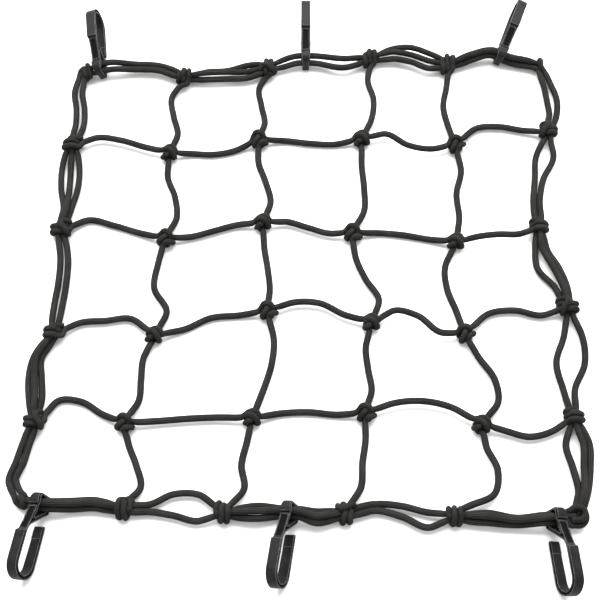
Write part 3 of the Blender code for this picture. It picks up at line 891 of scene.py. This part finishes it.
def hook_mesh(name):
    """One hook about its eye: side view filled, pulled out to the band's width, then hollowed."""
    bm = bmesh.new()
    edges = []
    near_face = -HOOK_WIDTH / 2 * MM
    for outline in (hook_rim(), EYE_HOLE):
        loop = [bm.verts.new((outward * MM, near_face, up * MM)) for outward, up in outline]
        edges += [bm.edges.new(pair) for pair in zip(loop, loop[1:] + loop[:1])]
    bmesh.ops.triangle_fill(bm, edges=edges, use_beauty=True)
    near_side = bm.faces[:]
    pulled = bmesh.ops.extrude_face_region(bm, geom=near_side, use_keep_orig=True)["geom"]
    bmesh.ops.translate(bm, vec=(0, HOOK_WIDTH * MM, 0),
                        verts=[v for v in pulled if isinstance(v, bmesh.types.BMVert)])
    far_side = [f for f in pulled if isinstance(f, bmesh.types.BMFace)]
    bmesh.ops.recalc_face_normals(bm, faces=bm.faces)
    for vert in bm.verts:
        vert.co.y *= width_share(round(vert.co.x / MM, 3), round(vert.co.z / MM, 3))
    bm.normal_update()
    strap_top = []
    for face in bm.faces:
        middle = face.calc_center_median() / MM
        on_strap = UPPER_STRAP[-1][0] < middle.x < UPPER_STRAP[0][0]
        if on_strap and middle.z > STRAP_TOP_ABOVE and face.normal.z > FACING_UP:
            strap_top.append(face)
    sunk(bm, near_side, SIDE_RIM, GROOVE_WALL, (0, SIDE_HOLLOW * MM, 0))
    sunk(bm, far_side, SIDE_RIM, GROOVE_WALL, (0, -SIDE_HOLLOW * MM, 0))
    sunk(bm, strap_top, STRAP_RIM, GROOVE_WALL, (0, 0, -STRAP_SINK * MM))
    rounded = bm.edges.layers.float.new("bevel_weight_edge")
    for edge in bm.edges:
        inside = all(face.material_index == RECESS for face in edge.link_faces)
        if edge.is_manifold and not inside and edge.calc_face_angle_signed() > SHARP_TURN:
            edge[rounded] = 1.0
    mesh = bpy.data.meshes.new(name)
    bm.to_mesh(mesh)
    bm.free()
    return mesh


# Glass-filled nylon, satin from a lightly etched mould: the grain is 0.05 mm and is drawn about
# 0.4 mm wide so that it shows. The melt's flow leaves soft marks about 8 mm long. The rounded
# edges are glossier and painted paler as a painted highlight; sunk faces are matt and painted
# darker as painted shade.
GRAIN = 0.4
GRAIN_DEPTH = 0.08
GRAIN_BUMP = 0.25
FLOW_MARK = 8.33
FLOW_TONES = (0.35, 0.7)
FLOW_SPREAD = (0.3, 0.7)
NYLON_IOR = 1.53
NYLON = "0B0B0B"
NYLON_PALE = "171616"
# the pale edge colours are a painted highlight on the rounded edges
NYLON_EDGE_HIGHLIGHT = "6A6868"
NYLON_EDGE_HIGHLIGHT_PALE = "9A9898"
# the dark recess colours are painted shade in the sunk faces
NYLON_RECESS_SHADE = "030303"
NYLON_RECESS_SHADE_PALE = "090909"


def nylon_material(name, dark, pale, satin, polish, gloss):
    """Nylon with its two colours, its highest and lowest roughness and its shine."""
    material, tree = blank_material(name)
    place = add_node(tree, "ShaderNodeTexCoord").outputs["Object"]
    grain = add_node(tree, "ShaderNodeTexNoise", links=(("Vector", place),),
                     sets=(("Scale", per_metre(GRAIN)), ("Detail", 3.0))).outputs["Fac"]
    flow = add_node(tree, "ShaderNodeTexNoise", links=(("Vector", place),),
                    sets=(("Scale", per_metre(FLOW_MARK)), ("Detail", 3.0),
                          ("Distortion", 0.6))).outputs["Fac"]
    colour = add_node(tree, "ShaderNodeValToRGB", links=(("Fac", flow),))
    ramp = colour.color_ramp
    for stop, position, code in zip(ramp.elements, FLOW_TONES, (dark, pale)):
        stop.position, stop.color = position, from_hex(code)
    rough = add_node(tree, "ShaderNodeMapRange", links=(("Value", flow),),
                     sets=(("From Min", FLOW_SPREAD[0]), ("From Max", FLOW_SPREAD[1]),
                           ("To Min", polish), ("To Max", satin))).outputs["Result"]
    bump = add_node(tree, "ShaderNodeBump", links=(("Height", grain),),
                    sets=(("Strength", GRAIN_BUMP),
                          ("Distance", GRAIN_DEPTH * MM))).outputs["Normal"]
    shader = add_node(tree, "ShaderNodeBsdfPrincipled",
                      links=(("Base Color", colour.outputs["Color"]), ("Roughness", rough),
                             ("Normal", bump)),
                      sets=(("IOR", NYLON_IOR), ("Specular IOR Level", gloss)))
    add_node(tree, "ShaderNodeOutputMaterial", links=(("Surface", shader.outputs["BSDF"]),))
    return material


nylons = (
    nylon_material("moulded_satin_nylon", NYLON, NYLON_PALE,
                   satin=0.56, polish=0.42, gloss=0.09),
    # edge nylon: glossier, and painted paler as a highlight
    nylon_material("glossy_nylon_edges_painted_highlight", NYLON_EDGE_HIGHLIGHT, NYLON_EDGE_HIGHLIGHT_PALE,
                   satin=0.4, polish=0.25, gloss=0.25),
    # recess nylon: matt, and painted darker as shade
    nylon_material("matt_nylon_painted_recess_shade", NYLON_RECESS_SHADE, NYLON_RECESS_SHADE_PALE,
                   satin=0.75, polish=0.65, gloss=0.04),
)
for number, hook in enumerate(HOOKS, start=1):
    name = f"moulded_hook_{number}"
    mesh = hook_mesh(name)
    centre, outward, up, side = hook_axes(hook)
    seat = Matrix.Translation(centre * MM) @ Matrix((outward, side, up)).transposed().to_4x4()
    mesh.transform(seat)
    for nylon in nylons:
        mesh.materials.append(nylon)
    item = bpy.data.objects.new(name, mesh)
    bpy.context.scene.collection.objects.link(item)
    rounding = item.modifiers.new("moulded edges", "BEVEL")
    rounding.width = EDGE_ROUND * MM
    rounding.segments = 2
    rounding.limit_method = "WEIGHT"
    rounding.use_clamp_overlap = True
    # the rounded edges take the edge nylon, painted paler as a highlight
    rounding.material = EDGE_HIGHLIGHT_SLOT
    mesh.shade_smooth()
    mesh.set_sharp_from_angle(angle=SHARP_TURN)
    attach(item, "root")
    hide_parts(f"hook_{number}")

# ==== Floor, light and camera ====================================================================
# The net lies on a plain pale studio floor, under one large soft light from beyond its far side and
# an even white surround. The camera looks from the near side, 26.5 degrees from straight down.
# Sizes here are in metres.
FLOOR_HALF = 3.0
FLOOR_PAINT = (0.62, 0.62, 0.62, 1)
LIGHT_SIZE = (4.0, 2.6)
LIGHT_POWER = 380
LIGHT_PLACE = (0.0, 1.6, 2.6)
LIGHT_TILT = -31
SURROUND = (1, 1, 1, 1)
SURROUND_STRENGTH = 1.5
LENS = 78
FILM_WIDTH = 36
CAMERA_PLACE = (-0.0028, -0.4851, 0.924)
CAMERA_TILT = 26.5

floor_mesh = bpy.data.meshes.new("floor")
bm = bmesh.new()
bmesh.ops.create_grid(bm, x_segments=1, y_segments=1, size=FLOOR_HALF)
bm.to_mesh(floor_mesh)
bm.free()
floor = bpy.data.objects.new("floor", floor_mesh)
bpy.context.scene.collection.objects.link(floor)
paint = bpy.data.materials.new("floor")
paint.use_nodes = True
paint.node_tree.nodes["Principled BSDF"].inputs["Base Color"].default_value = FLOOR_PAINT
floor_mesh.materials.append(paint)

light_data = bpy.data.lights.new("soft_window", "AREA")
light_data.shape = "RECTANGLE"
light_data.size, light_data.size_y = LIGHT_SIZE
light_data.energy = LIGHT_POWER
light = bpy.data.objects.new("soft_window", light_data)
light.location = LIGHT_PLACE
light.rotation_euler = (math.radians(LIGHT_TILT), 0, 0)
bpy.context.scene.collection.objects.link(light)

world = bpy.data.worlds.new("studio")
world.use_nodes = True
background = world.node_tree.nodes["Background"]
background.inputs["Color"].default_value = SURROUND
background.inputs["Strength"].default_value = SURROUND_STRENGTH
bpy.context.scene.world = world
bpy.context.scene.view_settings.view_transform = "Standard"

camera_data = bpy.data.cameras.new("camera")
camera_data.lens = LENS
camera_data.sensor_width = FILM_WIDTH
camera = bpy.data.objects.new("camera", camera_data)
camera.location = CAMERA_PLACE
camera.rotation_euler = (math.radians(CAMERA_TILT), 0, 0)
bpy.context.scene.collection.objects.link(camera)
bpy.context.scene.camera = camera
